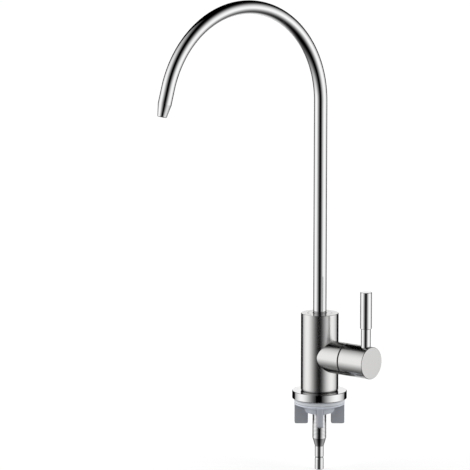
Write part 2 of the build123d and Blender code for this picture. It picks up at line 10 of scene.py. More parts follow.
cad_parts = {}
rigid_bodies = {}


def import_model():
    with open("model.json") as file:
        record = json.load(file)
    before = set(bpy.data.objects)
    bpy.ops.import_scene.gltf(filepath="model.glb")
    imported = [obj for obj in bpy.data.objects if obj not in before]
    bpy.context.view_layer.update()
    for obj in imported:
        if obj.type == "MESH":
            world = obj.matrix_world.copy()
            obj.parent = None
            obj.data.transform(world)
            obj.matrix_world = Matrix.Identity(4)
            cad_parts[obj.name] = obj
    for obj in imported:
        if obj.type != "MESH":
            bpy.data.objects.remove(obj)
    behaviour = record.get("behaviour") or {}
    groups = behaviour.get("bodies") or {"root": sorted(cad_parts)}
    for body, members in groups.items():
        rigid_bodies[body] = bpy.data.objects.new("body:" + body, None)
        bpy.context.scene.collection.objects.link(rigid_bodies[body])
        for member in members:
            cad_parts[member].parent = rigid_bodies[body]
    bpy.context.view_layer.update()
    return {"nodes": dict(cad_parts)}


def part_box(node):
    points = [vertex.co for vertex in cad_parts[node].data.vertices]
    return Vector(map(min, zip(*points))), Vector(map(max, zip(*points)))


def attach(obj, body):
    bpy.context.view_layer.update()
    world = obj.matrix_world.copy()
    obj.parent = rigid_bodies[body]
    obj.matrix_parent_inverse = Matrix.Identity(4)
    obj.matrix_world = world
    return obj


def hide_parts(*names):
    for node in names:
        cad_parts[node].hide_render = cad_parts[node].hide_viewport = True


bl_info = {
    "name": "Drinking Water Filter Tap",
    "version": (1, 0, 0),
    "blender": (4, 5, 0),
    "location": "View3D > Sidebar > Filter Tap",
    "description": "Builds a deck-mounted filter tap round its packed frame, with its finishes and its studio",
    "category": "Object",
}

for leftover in list(bpy.data.objects):
    bpy.data.objects.remove(leftover)

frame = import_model()

MM = 0.001
UP = Vector((0.0, 0.0, 1.0))
PRECISION = 5

# Steps round each turned or swept form, and along the roundings
ROUND_STEPS = 6
BODY_STEPS = 192
RING_STEPS = 144
COLLAR_STEPS = 128
ROD_STEPS = 96
SHANK_STEPS = 80
TUBE_STEPS = 72
HOLE_STEPS = 72

# Steps along the spout: every BORE_SKIP-th station of the arch carries a ring of the bore
RISER_STEPS = 24
ARCH_STEPS = 132
BORE_SKIP = 4
STRAIGHT_STEPS = 6
KINK_STEPS = 8

# Small gaps and roundings that follow from no panel size
THREAD_GAP = 0.03 * MM
SEAT_GAP = 0.02 * MM
TENON_END_GAP = 0.4 * MM
LEVER_STEP_LOWER_ROUND = 0.1 * MM
LEVER_STEP_UPPER_ROUND = 0.15 * MM
RING_EDGE = 0.15 * MM
NECK_EDGE = 0.4 * MM
NECK_FLOOR_ROUND = 0.6 * MM
TAPER_FOOT_ROUND = 0.8 * MM
TAPER_HEAD_ROUND = 0.5 * MM
SHANK_TOP_BREAK = 0.6 * MM
THREAD_START_GAP = 0.35 * MM

# Rows of vertices along each turn of the thread, how narrow its valleys are, and how far a pass softens the nut
ROWS_PER_TURN = 9
VALLEY_POWER = 1.5
NUT_SOFTENING = 0.5

# Points nearer than this count as one
TOUCHING = 1e-7

# Edge angles in degrees where the shading breaks, and the least normal of a face that looks straight out
TURNED_LIMIT = 25.0
SWEPT_LIMIT = 40.0
END_FACE = 0.95


def top_of(node_name):
    """Highest z of a frame node."""
    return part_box(node_name)[1].z


def foot_of(node_name):
    """Lowest z of a frame node."""
    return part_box(node_name)[0].z


def half_width(node_name):
    """Half the node's size along Y, which is the radius of a turned piece."""
    low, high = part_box(node_name)
    return (high.y - low.y) / 2


def handle_height():
    """Height of the valve's and the handle's axis."""
    low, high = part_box("handle_cap")
    return (low.z + high.z) / 2


# ---------------------------------------------------------------- sizes


def length(name, description, default):
    """A length property in metres."""
    return FloatProperty(
        name=name, description=description, default=default, min=0.0, precision=PRECISION, unit="LENGTH"
    )


def place(name, description, default):
    """A place along an axis, in metres, which may be negative."""
    return FloatProperty(name=name, description=description, default=default, precision=PRECISION, unit="LENGTH")


def angle(name, description, default):
    """An angle property, given here in degrees."""
    return FloatProperty(name=name, description=description, default=radians(default), unit="ROTATION")


def share(name, description, default):
    """A factor from 0 to 1."""
    return FloatProperty(name=name, description=description, default=default, min=0.0, max=1.0, subtype="FACTOR")


def opening(name, description, azimuth, elevation):
    """The azimuth and elevation of a tent's opening, given here in degrees."""
    pair = (radians(azimuth), radians(elevation))
    return FloatVectorProperty(name=name, description=description, default=pair, size=2, unit="ROTATION")


def colour(name, description, default):
    """A colour property."""
    return FloatVectorProperty(
        name=name, description=description, default=default, size=3, min=0, max=1, subtype="COLOR"
    )


class SpoutSizes(bpy.types.PropertyGroup):
    """Sizes of the gooseneck tube and the collar round its foot."""

    tube_radius: length("Tube Radius", "Outer radius of the riser and the arch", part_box("spout_tube")[1].x)
    tube_wall: length("Tube Wall", "Wall of the tube", 1.0 * MM)
    arch_radius: length("Arch Radius", "Radius of the arch at the tube's middle", 70.9 * MM)
    arch_sweep: angle("Arch Sweep", "Turn of the arch from the riser to the outlet", 164.3)
    heading: angle("Heading", "Direction of the arch round the riser, from +X", -98.9)
    crown: place("Crown", "Highest point of the arch", top_of("spout_tube"))
    tube_foot: place("Tube Foot", "Lower end of the riser, inside the body", foot_of("spout_tube"))
    outlet_straight: length("Outlet Straight", "Straight run after the arch", 11.1 * MM)
    outlet_swage: length("Outlet Swage", "Narrowing end after the straight run", 8.9 * MM)
    outlet_radius: length("Outlet Radius", "Outer radius at the tip", 3.2 * MM)
    kink_round: length("Kink Round", "Half the length of the soft bend where the swage starts", 0.6 * MM)
    lip_round: length("Lip Round", "Rounding of the tip's outer edge", 0.3 * MM)
    collar_radius: length("Collar Radius", "Outer radius of the collar in the body's top", half_width("spout_collar"))
    collar_gap: length("Collar Gap", "Ring gap between the tube and the collar", 0.35 * MM)
    collar_edge: length("Collar Edge", "Rounding of the collar's top edges", 0.25 * MM)


class BodySizes(bpy.types.PropertyGroup):
    """Sizes of the upright body and its side port."""

    radius: length("Body Radius", "Radius of the upright body", half_width("tap_body"))
    foot_round: length("Foot Round", "Rounding where the body meets the deck flange", 1.2 * MM)
    top_edge: length("Top Edge", "Rounding of the top rim", 0.3 * MM)
    chamber_radius: length("Chamber Radius", "Radius of the spout's chamber", 6.75 * MM)
    chamber_floor: place("Chamber Floor", "Floor of the spout's chamber", 41.0 * MM)
    shoulder_radius: length("Shoulder Recess Radius", "Radius of the recess for the spout's shoulder", 7.55 * MM)
    shoulder_floor: place("Shoulder Floor", "Floor of the shoulder's recess", 55.95 * MM)
    port_radius: length("Port Radius", "Radius of the side port", half_width("handle_cap"))
    port_end: place("Port End", "End face of the side port along X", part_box("tap_body")[1].x)
    port_edge: length("Port Edge", "Rounding of the port's rim", 0.3 * MM)
    pocket_radius: length("Pocket Radius", "Radius of the cartridge's pocket", 7.05 * MM)
    pocket_floor: place("Pocket Floor", "Floor of the cartridge's pocket along X", 3.0 * MM)
    socket_radius: length("Socket Radius", "Radius of the shank's socket", 5.03 * MM)
    socket_depth: length("Socket Depth", "Depth of the shank's socket", 11.5 * MM)


class HandleSizes(bpy.types.PropertyGroup):
    """Sizes of the glide ring, the handle cap and the lever."""

    cap_edge: length("Cap Edge", "Rounding round the cap's end face", 0.5 * MM)
    cap_pocket_radius: length("Cap Pocket Radius", "Radius of the pocket over the hexagon", 9.2 * MM)
    cap_pocket_depth: length("Cap Pocket Depth", "Depth of that pocket", 4.3 * MM)
    cap_bore_radius: length("Cap Bore Radius", "Radius of the bore for the spindle's end", 3.42 * MM)
    cap_bore_depth: length("Cap Bore Depth", "Depth of the bore from the cap's open end", 10.9 * MM)
    lever_lower_radius: length("Lever Lower Radius", "Radius below the step", 3.5 * MM)
    lever_step: place("Lever Step", "Height of the lever's step", 55.6 * MM)
    lever_edge: length("Lever Edge", "Rounding of the lever's top edge", 0.4 * MM)
    lever_seat: place("Lever Seat", "Height of the lever's shoulder in the cap", 41.85 * MM)
    tenon_radius: length("Tenon Radius", "Radius of the lever's threaded end", 2.5 * MM)
    screw_radius: length("Screw Radius", "Radius of the grub screw's hole", 2.02 * MM)


class DeckSizes(bpy.types.PropertyGroup):
    """Sizes of the deck flange, the rubber washer and the wing nut."""

    flange_edge: length("Flange Edge", "Rounding of the deck flange's top edge", 0.5 * MM)
    flange_foot: length("Flange Foot", "Break of the deck flange's lower edge", 0.2 * MM)
    flange_rim: length("Flange Rim", "Width of the rim round the gasket", 1.35 * MM)
    flange_recess: length("Flange Recess", "Depth of the gasket's recess", 1.6 * MM)
    flange_bore: length("Flange Bore", "Radius of the hole for the shank", 5.25 * MM)
    washer_edge: length("Washer Edge", "Rounding of the rubber washer's edges", 0.7 * MM)
    washer_bore: length("Washer Bore", "Radius of the washer's hole", 5.3 * MM)
    nut_rim: length("Nut Rim", "Height of the nut's rim", 1.0 * MM)
    nut_dish: length("Nut Dish", "Depth of the nut's dish below its rim", 2.65 * MM)
    nut_hub_radius: length("Nut Hub Radius", "Radius where the dish meets the hub", 10.7 * MM)
    nut_hub_side: length("Nut Hub Side", "Straight side of the hub above its bowl", 0.2 * MM)
    nut_bowl: length("Nut Bowl", "Rounding of the hub's bowl", 4.2 * MM)
    nut_voxel: length("Nut Cell", "Cell size that rounds the moulded nut's edges", 0.24 * MM)
    nut_smoothing: IntProperty(name="Nut Smoothing", description="Passes that soften its edges", default=5, min=0)


class ShankSizes(bpy.types.PropertyGroup):
    """Sizes of the threaded shank and its stub."""

    thread_pitch: length("Thread Pitch", "Pitch of the shank's thread", 1.0 * MM)
    thread_depth: length("Thread Depth", "Depth of the thread's rounded valleys", 0.09 * MM)
    thread_top: place("Thread Top", "Upper end of the cut thread", -0.4 * MM)
    thread_end: place("Thread End", "Lower end of the thread, where the taper starts", -29.3 * MM)
    taper_end: place("Taper End", "Lower end of the taper, where the stub starts", -35.6 * MM)
    bore_radius: length("Bore Radius", "Radius of the waterway", 2.2 * MM)
    stub_radius: length("Stub Radius", "Radius of the plain stub", 3.175 * MM)
    neck_height: place("Neck Height", "Height of the stub's neck", -44.1 * MM)
    neck_width: length("Neck Width", "Width of the neck", 2.1 * MM)
    neck_depth: length("Neck Depth", "Depth of the neck", 0.3 * MM)
    end_edge: length("End Edge", "Rounding of the stub's end", 0.4 * MM)


class FinishColours(bpy.types.PropertyGroup):
    """Colours of the tap's finishes."""

    polished: colour("Polished Steel", "Spout, lever, deck flange and shank", (0.955, 0.955, 0.96))
    brushed: colour("Brushed Steel", "Body, port and handle cap", (0.945, 0.94, 0.93))
    nut: colour("Nut Plastic", "Wing nut's dish and hub", (0.44, 0.462, 0.51))
    # The wings' colour is the dish's plastic made darker: painted shade from the dish above them.
    wings: colour("Wing Plastic", "Wing nut's wings", (0.235, 0.245, 0.272))
    washer: colour("Washer Rubber", "Pale washer under the deck", (0.46, 0.478, 0.505))
    black: colour("Black Rubber", "Seals, gasket and glide ring", (0.022, 0.022, 0.023))
    brass: colour("Brass", "Cartridge housing, spindle and spigot", (0.78, 0.58, 0.28))
    ceramic: colour("Ceramic", "Valve discs", (0.90, 0.89, 0.86))
    slip: colour("Slip Washer", "Low-friction washer over the spout's shoulder", (0.86, 0.86, 0.84))
    spring: colour("Spring Steel", "Clip and grub screw", (0.42, 0.42, 0.44))


class StudioSettings(bpy.types.PropertyGroup):
    """The camera, the floor and the light."""

    camera_place: FloatVectorProperty(
        name="Camera Place", description="Where the camera stands", default=(1.4912, -1.8020, 0.4952),
        size=3, precision=PRECISION, subtype="TRANSLATION", unit="LENGTH",
    )
    camera_azimuth: angle("Camera Azimuth", "Heading of the view, from +Y towards -X", 41.1)
    camera_tilt: angle("Camera Tilt", "Angle of the view below the horizon", 9.15)
    camera_lens: FloatProperty(
        name="Lens", description="Focal length in millimetres on a 36 mm sensor", default=253.7, unit="CAMERA"
    )
    floor_gap: length("Floor Gap", "Gap between the stub's end and the floor", 0.3 * MM)
    floor_radius: length("Floor Radius", "Radius of the floor", 14.0)
    ambient: share("Ambient", "Strength of the even light on matt surfaces", 0.45)
    side_light: FloatProperty(name="Side Light", description="Strength of each soft side lamp", default=3.9, min=0.0)
    side_rise: angle("Side Rise", "Height of the side lamps above the horizon", 42.0)
    floor_shade: share("Floor Shade", "How much of the floor's white comes from the lamps", 0.25)
    tent_radius: length("Tent Radius", "Radius of the black tent that only shiny surfaces see", 6.0)
    left_box: opening("Left Opening", "Azimuth and elevation of the tent's left opening", -133.8, 6.0)
    right_box: opening("Right Opening", "Azimuth and elevation of the tent's right opening", 27.0, -7.5)
    back_box: opening("Back Opening", "Azimuth and elevation of the tent's opening behind the tap", 130.2, 10.0)
    low_box: opening("Low Opening", "Azimuth and elevation of the tent's low opening behind the tap", 131.0, -28.0)
    slit_turn: angle("Slit Turn", "Middle of the dark slit that the camera looks through, from the camera", -4.2)
    slit_half: angle("Slit Half", "Half the slit's width", 11.0)
    side_reach: angle("Side Reach", "Where the side openings end, from the camera", 131.0)
    second_mirror: share("Second Mirror", "Share of an opening's light left when metal mirrors other metal", 0.45)


# ---------------------------------------------------------------- mesh making


def rounded_outline(corners):
    """Turns (radius, height, rounding) corners, met with the material on the left, into points with normals."""
    points = []
    for index, (radius, height, rounding) in enumerate(corners):
        here = Vector((radius, height))
        if rounding == 0:
            points.append((here, None))
            continue
        incoming = (here - Vector(corners[index - 1][:2])).normalized()
        outgoing = (Vector(corners[(index + 1) % len(corners)][:2]) - here).normalized()
        turn = atan2(incoming.x * outgoing.y - incoming.y * outgoing.x, incoming.dot(outgoing))
        bulge = 1 if turn > 0 else -1
        outward = Vector((incoming.y, -incoming.x))
        start = here - incoming * rounding * tan(abs(turn) / 2)
        centre = start - outward * rounding * bulge
        for step in range(ROUND_STEPS + 1):
            swing = turn * step / ROUND_STEPS
            across, along = cos(swing), sin(swing)
            normal = Vector((outward.x * across - outward.y * along, outward.x * along + outward.y * across))
            points.append((centre + normal * rounding * bulge, normal))
    return points


def spun(point, step, steps):
    """A point or normal (across, up) of an outline, turned round the Z axis by a number of steps."""
    turn = 2 * pi * step / steps
    return point.x * cos(turn), point.x * sin(turn), point.y


def lathe(outline, steps):
    """Vertices, faces and corner normals of an outline turned round the Z axis; one from the axis stays open."""
    vertices, rows = [], []
    for point, _ in outline:
        on_axis = point.x < TOUCHING
        rows.append([len(vertices) + (0 if on_axis else step) for step in range(steps)])
        vertices += [spun(point, step, steps) for step in range(1 if on_axis else steps)]
    faces, normals = [], []
    for index in range(len(outline) if outline[0][0].x > 0 else len(outline) - 1):
        after = (index + 1) % len(outline)
        (start, start_normal), (end, end_normal) = outline[index], outline[after]
        along = end - start
        if along.length < TOUCHING:
            continue
        flat = Vector((along.y, -along.x)).normalized()
        low, high = start_normal or flat, end_normal or flat
        low_row, high_row = rows[index], rows[after]
        for step in range(steps):
            beside = (step + 1) % steps
            corners = [
                (low_row[step], low, step),
                (low_row[beside], low, step + 1),
                (high_row[beside], high, step + 1),
                (high_row[step], high, step),
            ]
            if low_row[0] == low_row[1]:
                corners.pop(0)
            elif high_row[0] == high_row[1]:
                corners.pop(2)
            faces.append([vertex for vertex, _, _ in corners])
            normals += [spun(normal, spoke, steps) for _, normal, spoke in corners]
    return vertices, faces, normals


def tube_faces(rows, steps):
    """Quads between rings of vertices, with the last ring joined to the first."""
    faces = []
    for row in range(rows):
        this, after = row * steps, (row + 1) % rows * steps
        for step in range(steps):
            beside = (step + 1) % steps
            faces.append((this + step, this + beside, after + beside, after + step))
    return faces


def new_piece(name, vertices, faces, normals=None, lie=None):
    """A mesh object from its vertices and faces, with given corner normals, laid by a matrix."""
    mesh = bpy.data.meshes.new(name)
    if lie is not None:
        turn = lie.to_3x3()
        vertices = [lie @ Vector(vertex) for vertex in vertices]
        normals = [turn @ Vector(normal) for normal in normals]
    mesh.from_pydata(vertices, [], faces)
    mesh.polygons.foreach_set("use_smooth", [True] * len(faces))
    if normals is not None:
        mesh.normals_split_custom_set(normals)
    mesh.validate()
    piece = bpy.data.objects.new(name, mesh)
    bpy.context.scene.collection.objects.link(piece)
    return piece


def turned_piece(name, corners, steps, lie=None):
    """A turned piece from its (radius, height, rounding) corners."""
    return new_piece(name, *lathe(rounded_outline(corners), steps), lie=lie)


def plug(name, radius, bottom, top, steps, lie=None):
    """A plain cylinder that cuts a hole."""
    return turned_piece(name, [(0, bottom, 0), (radius, bottom, 0), (radius, top, 0), (0, top, 0)], steps, lie)


def valve_lie():
    """Lays a turned piece on the valve's axis, with its height along X."""
    return Matrix(((0, 0, 1, 0), (1, 0, 0, 0), (0, 1, 0, handle_height()), (0, 0, 0, 1)))


def apply_modifiers(piece):
    """Replaces the piece's mesh with what its modifiers make of it."""
    graph = bpy.context.evaluated_depsgraph_get()
    made = bpy.data.meshes.new_from_object(piece.evaluated_get(graph))
    piece.modifiers.clear()
    old = piece.data
    piece.data = made
    bpy.data.meshes.remove(old)


def join_by(piece, operation, *tools):
    """Joins or cuts the piece with the tools, which are used up."""
    for tool in tools:
        step = piece.modifiers.new(operation.lower(), "BOOLEAN")
        step.operation = operation
        step.solver = "EXACT"
        step.object = tool
    apply_modifiers(piece)
    for tool in tools:
        bpy.data.objects.remove(tool)


def shade_by_angle(piece, limit):
    """Smooth shading that breaks at edges sharper than the limit in degrees, weighted by face size."""
    mesh = piece.data
    if "custom_normal" in mesh.attributes:
        mesh.attributes.remove(mesh.attributes["custom_normal"])
    mesh.polygons.foreach_set("use_smooth", [True] * len(mesh.polygons))
    mesh.set_sharp_from_angle(angle=radians(limit))
    piece.modifiers.new("weigh", "WEIGHTED_NORMAL").keep_sharp = True
    apply_modifiers(piece)


def dress(piece, finishes, slot, body, *nodes):
    """Gives a piece its finishes and body, and hides the frame nodes that it stands for; its slot is not used."""
    for name in finishes:
        piece.data.materials.append(finish(name))
    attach(piece, body)
    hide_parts(*nodes)


# ---------------------------------------------------------------- finishes

# How finely each metal's grain repeats along X, Y and Z
GRAIN_UPRIGHT = (6000.0, 6000.0, 160.0)
GRAIN_ALONG_VALVE = (160.0, 6000.0, 6000.0)
GRAIN_ALONG_BAR = (6000.0, 900.0, 900.0)
GRAIN_EVEN = (3000.0, 3000.0, 3000.0)
FINE_STREAKS = 0.55
BROAD_SIZE = 0.16

# Detail and roughness of each noise
CLOUDS = {
    "fine streaks": (5.0, 0.65), "broad streaks": (2.0, 0.5), "smudges": (3.0, 0.55), "slow tones": (3.0, 0.5),
    "skin": (2.0, 0.5),
}

# How finely the skins and smudges repeat, and how deep or strong they are
SKIN_SIZE = 2500.0
LAPPED_SIZE = 4000.0
TONE_SIZE = 130.0
SMUDGE_SIZE = 55.0
SMUDGE_RANGE = (0.42, 0.68)
RELIEF_DEPTH = 0.05 * MM
BRUSHED_RELIEF = 0.12
MOULDED_RELIEF = 0.05
LAPPED_RELIEF = 0.02
ROUGHNESS_CHANGE = 0.05
SMUDGED_TONES = (1.0, 0.985)
BRUSHED_TONES = (0.93, 1.05)
MOULDED_TONES = (0.93, 1.07)

# Between which Facing values the body's edges sharpen, and how the nut's wings are told from its dish for their
# painted shade, which stops short of their outer edges
EDGE_VIEW = (0.35, 0.75)
WING_SOFTNESS = 0.7 * MM
WING_UNSHADED_EDGE = 0.3 * MM

# Where the tent's flags end: in radians at the slit and the back, by the direction's height for the others
SLIT_EDGE = (0.0, 0.05)
BACK_EDGE = (0.0, 0.12)
SIDES_FADE = (-1.05, -0.17)
HEIGHT_FLAGS = {"Above Floor": (-0.06, 0.10), "Below Rim": (-0.20, -0.28)}


def feed(tree, sockets, feeds):
    """Gives sockets, by name or number, a link from another socket or a value."""
    for key, source in feeds.items():
        if isinstance(source, bpy.types.NodeSocket):
            tree.links.new(source, sockets[key])
        else:
            sockets[key].default_value = source


def node(tree, kind, feeds=None, **settings):
    """A node of a kind in a tree, with its settings and what feeds its inputs."""
    made = tree.nodes.new("ShaderNode" + kind)
    for key, value in settings.items():
        setattr(made, key, value)
    feed(tree, made.inputs, feeds or {})
    return made


def math_node(tree, operation, *sources):
    """A math node fed by sockets or numbers; gives its output socket."""
    return node(tree, "Math", dict(enumerate(sources)), operation=operation).outputs[0]


def vector_node(tree, operation, *sources):
    """A vector math node fed by sockets or vectors; gives its vector and its value output."""
    return node(tree, "VectorMath", dict(enumerate(sources)), operation=operation).outputs


def product(tree, first, *others):
    """The product of several sockets or numbers."""
    for other in others:
        first = math_node(tree, "MULTIPLY", first, other)
    return first


def spread(tree, source, reach=(0.0, 1.0), onto=(0.0, 1.0), interpolation="LINEAR"):
    """A source's reach, laid onto another pair of values and held beyond both ends."""
    feeds = {"Value": source, "From Min": reach[0], "From Max": reach[1], "To Min": onto[0], "To Max": onto[1]}
    return node(tree, "MapRange", feeds, clamp=True, interpolation_type=interpolation).outputs[0]


def soft_step(tree, source, reach):
    """A soft-ended mask that grows from 0 to 1 over the source's reach."""
    return spread(tree, source, reach, interpolation="SMOOTHSTEP")


def noise(tree, spot, scale, cloud):
    """The value of a noise texture of one of the clouds at a place."""
    detail, roughness = CLOUDS[cloud]
    feeds = {"Vector": spot, "Scale": scale, "Detail": detail, "Roughness": roughness}
    return node(tree, "TexNoise", feeds).outputs[0]


def height_of(tree, vector):
    """The z of a vector."""
    return node(tree, "SeparateXYZ", {0: vector}).outputs["Z"]


def tint(tree, source, dark, light):
    """A colour that a 0 to 1 source blends from the dark one to the light one."""
    return node(tree, "Mix", {"Factor": source, 6: (*dark, 1.0), 7: (*light, 1.0)}, data_type="RGBA").outputs[2]


def bump(tree, height, strength):
    """The normal of a surface that has the height's fine relief."""
    return node(tree, "Bump", {"Height": height, "Strength": strength, "Distance": RELIEF_DEPTH}).outputs["Normal"]


def rough_by(tree, tone, roughness):
    """A roughness that changes a little with the tone."""
    return spread(tree, tone, onto=(roughness - ROUGHNESS_CHANGE, roughness + ROUGHNESS_CHANGE))


def scaled(values, times):
    """A colour made darker or lighter."""
    return tuple(min(1.0, value * times) for value in values)


def tones(tree, source, base, ends):
    """The base colour, times the first of the ends where the source is 0 and the second where it is 1."""
    return tint(tree, source, *(scaled(base, times) for times in ends))


def effect_group(name, vectors, numbers, outputs):
    """An empty shader node group with the named sockets; gives its tree, its inputs and its outputs."""
    group = bpy.data.node_groups.new(name, "ShaderNodeTree")
    sockets = [(label, "INPUT", "NodeSocketVector") for label in vectors]
    sockets += [(label, "INPUT", "NodeSocketFloat") for label in numbers]
    sockets += [(label, "OUTPUT", "NodeSocketFloat") for label in outputs]
    for label, way, kind in sockets:
        group.interface.new_socket(label, in_out=way, socket_type=kind)
    return group, group.nodes.new("NodeGroupInput").outputs, group.nodes.new("NodeGroupOutput").inputs


def brush_streaks():
    """Long fine streaks of brushed metal, from coordinates already stretched along the grain."""
    group, given, result = effect_group("brush_streaks", ["Grain"], [], ["Tone"])
    fine = noise(group, given["Grain"], 1.0, "fine streaks")
    broad = noise(group, given["Grain"], BROAD_SIZE, "broad streaks")
    tone = math_node(group, "ADD", product(group, broad, 1.0 - FINE_STREAKS), product(group, fine, FINE_STREAKS))
    feed(group, result, {"Tone": tone})
    return group


def handling_marks():
    """Faint soft smudges, as wiping and handling leave on metal."""
    group, given, result = effect_group("handling_marks", ["Place"], ["Size"], ["Mask"])
    cloud = noise(group, given["Place"], given["Size"], "smudges")
    feed(group, result, {"Mask": spread(group, cloud, SMUDGE_RANGE)})
    return group


def moulded_grain():
    """Fine pebbled skin of moulded plastic and rubber, with slow changes of tone."""
    group, given, result = effect_group("moulded_grain", ["Place"], ["Tone Size", "Grain Size"], ["Tone", "Height"])
    flow = noise(group, given["Place"], given["Tone Size"], "slow tones")
    skin = noise(group, given["Place"], given["Grain Size"], "skin")
    feed(group, result, {"Tone": flow, "Height": skin})
    return group


def wing_mask():
    """Where the nut's wings get painted shade below its dish and its bowl-shaped hub, short of their outer edges,
    which stay pale.
    """
    numbers = ["Rim Radius", "Rim Height", "Slope", "Bowl Round"]
    group, given, result = effect_group("wing_mask", ["Place", "Bowl Middle"], numbers, ["Mask"])
    height = height_of(group, given["Place"])
    radius = vector_node(group, "LENGTH", vector_node(group, "MULTIPLY", given["Place"], (1.0, 1.0, 0.0))[0])[1]
    profile = node(group, "CombineXYZ", {"X": radius, "Z": height}).outputs[0]
    inward = math_node(group, "SUBTRACT", given["Rim Radius"], radius)
    dish = math_node(group, "SUBTRACT", given["Rim Height"], product(group, inward, given["Slope"]))
    from_middle = vector_node(group, "DISTANCE", profile, given["Bowl Middle"])[1]
    distances = (
        math_node(group, "SUBTRACT", dish, height),
        math_node(group, "SUBTRACT", from_middle, given["Bowl Round"]),
        math_node(group, "ADD", inward, WING_UNSHADED_EDGE),
    )
    masks = [soft_step(group, distance, (0.0, WING_SOFTNESS)) for distance in distances]
    feed(group, result, {"Mask": product(group, *masks)})
    return group


def along_axes(group, given, *axes):
    """How far the given direction goes along each of the given axes."""
    return [vector_node(group, "DOT_PRODUCT", given["Direction"], given[axis])[1] for axis in axes]


def tent_opening():
    """How far one soft-edged opening of the black tent lets the white studio through, by direction."""
    axes, numbers = ["Towards", "Across", "Upward"], ["Narrow", "Flat", "Falloff", "Strength"]
    group, given, result = effect_group("tent_opening", ["Direction", *axes], numbers, ["Opening"])
    ahead, aside, above = along_axes(group, given, *axes)
    aside, above = product(group, aside, given["Narrow"]), product(group, above, given["Flat"])
    squeezed = node(group, "CombineXYZ", {"X": ahead, "Y": aside, "Z": above}).outputs[0]
    near = math_node(group, "DIVIDE", ahead, vector_node(group, "LENGTH", squeezed)[1])
    lobe = math_node(group, "POWER", math_node(group, "MAXIMUM", near, 0.0), given["Falloff"])
    feed(group, result, {"Opening": product(group, lobe, given["Strength"])})
    return group


def tent_flags():
    """Where the tent's flags leave its openings free, by direction.

    Sides is free beside the camera's slit and short of the back, and fades towards the floor. Above Floor
    and Below Rim are free by height alone.
    """
    axes, numbers = ["Camera Side", "Beside Camera"], ["Slit Turn", "Slit Half", "Side Reach"]
    group, given, result = effect_group("tent_flags", ["Direction", *axes], numbers, ["Sides", *HEIGHT_FLAGS])
    towards, beside = along_axes(group, given, *axes)
    turn = math_node(group, "ARCTAN2", beside, towards)
    from_slit = math_node(group, "ABSOLUTE", math_node(group, "SUBTRACT", turn, given["Slit Turn"]))
    beyond_slit = math_node(group, "SUBTRACT", from_slit, given["Slit Half"])
    short_of_back = math_node(group, "SUBTRACT", given["Side Reach"], math_node(group, "ABSOLUTE", turn))
    height = height_of(group, given["Direction"])
    slit_flag, back_flag = soft_step(group, beyond_slit, SLIT_EDGE), soft_step(group, short_of_back, BACK_EDGE)
    feed(group, result, {"Sides": product(group, slit_flag, back_flag, spread(group, height, SIDES_FADE))})
    feed(group, result, {label: soft_step(group, height, edge) for label, edge in HEIGHT_FLAGS.items()})
    return group


def place_effect(tree, build, feeds):
    """An effect group placed in a tree, and built on first use; gives its outputs."""
    group = bpy.data.node_groups.get(build.__name__) or build()
    return node(tree, "Group", feeds, node_tree=group).outputs


def empty_tree(owner):
    """The node tree of a new material or world, emptied."""
    owner.use_nodes = True
    owner.node_tree.nodes.clear()
    return owner.node_tree


def blank_material(name, base, metallic, roughness):
    """A material with one Principled shader, its constants set; gives the material, tree, inputs and place."""
    material = bpy.data.materials.new(name)
    tree = empty_tree(material)
    constants = {"Base Color": (*base, 1.0), "Metallic": metallic, "Roughness": roughness}
    shader = node(tree, "BsdfPrincipled", constants)
    node(tree, "OutputMaterial", {"Surface": shader.outputs[0]})
    return material, tree, shader.inputs, node(tree, "TexCoord").outputs["Object"]


def polished_metal(name, base, roughness, smudged_roughness):
    """Bright polished metal with faint smudges."""
    material, tree, inputs, spot = blank_material(name, base, 1.0, roughness)
    smudge = place_effect(tree, handling_marks, {"Place": spot, "Size": SMUDGE_SIZE})["Mask"]
    feed(tree, inputs, {
        "Base Color": tones(tree, smudge, base, SMUDGED_TONES),
        "Roughness": spread(tree, smudge, onto=(roughness, smudged_roughness)),
    })
    return material


def brushed_metal(name, base, roughness, grain, edge_share=1.0):
    """Brushed metal whose grain runs along the axis with the smallest scale.

    It mirrors more sharply where it is seen at a low angle: edge_share of its roughness is left there.
    """
    material, tree, inputs, spot = blank_material(name, base, 1.0, roughness)
    stretched = vector_node(tree, "MULTIPLY", spot, grain)[0]
    tone = place_effect(tree, brush_streaks, {"Grain": stretched})["Tone"]
    rough = rough_by(tree, tone, roughness)
    if edge_share < 1.0:
        facing = node(tree, "LayerWeight").outputs["Facing"]
        rough = product(tree, rough, spread(tree, facing, EDGE_VIEW, (1.0, edge_share)))
    feed(tree, inputs, {
        "Base Color": tones(tree, tone, base, BRUSHED_TONES),
        "Roughness": rough,
        "Normal": bump(tree, tone, BRUSHED_RELIEF),
    })
    return material


def wing_tint(tree, spot, base):
    """The nut's colour: pale in its dish and hub, and darker in its wings, where painted shade stands for the shadow
    that the dish casts on them.
    """
    sizes = bpy.context.scene.tap_deck
    radius, rim = half_width("wing_nut"), top_of("wing_nut") - sizes.nut_rim
    wings = place_effect(tree, wing_mask, {
        "Place": spot,
        "Rim Radius": radius,
        "Rim Height": rim,
        "Slope": sizes.nut_dish / (radius - sizes.nut_hub_radius),
        "Bowl Middle": (sizes.nut_hub_radius - sizes.nut_bowl, 0.0, rim - sizes.nut_dish - sizes.nut_hub_side),
        "Bowl Round": sizes.nut_bowl,
    })["Mask"]
    return tint(tree, wings, base, bpy.context.scene.tap_colours.wings)


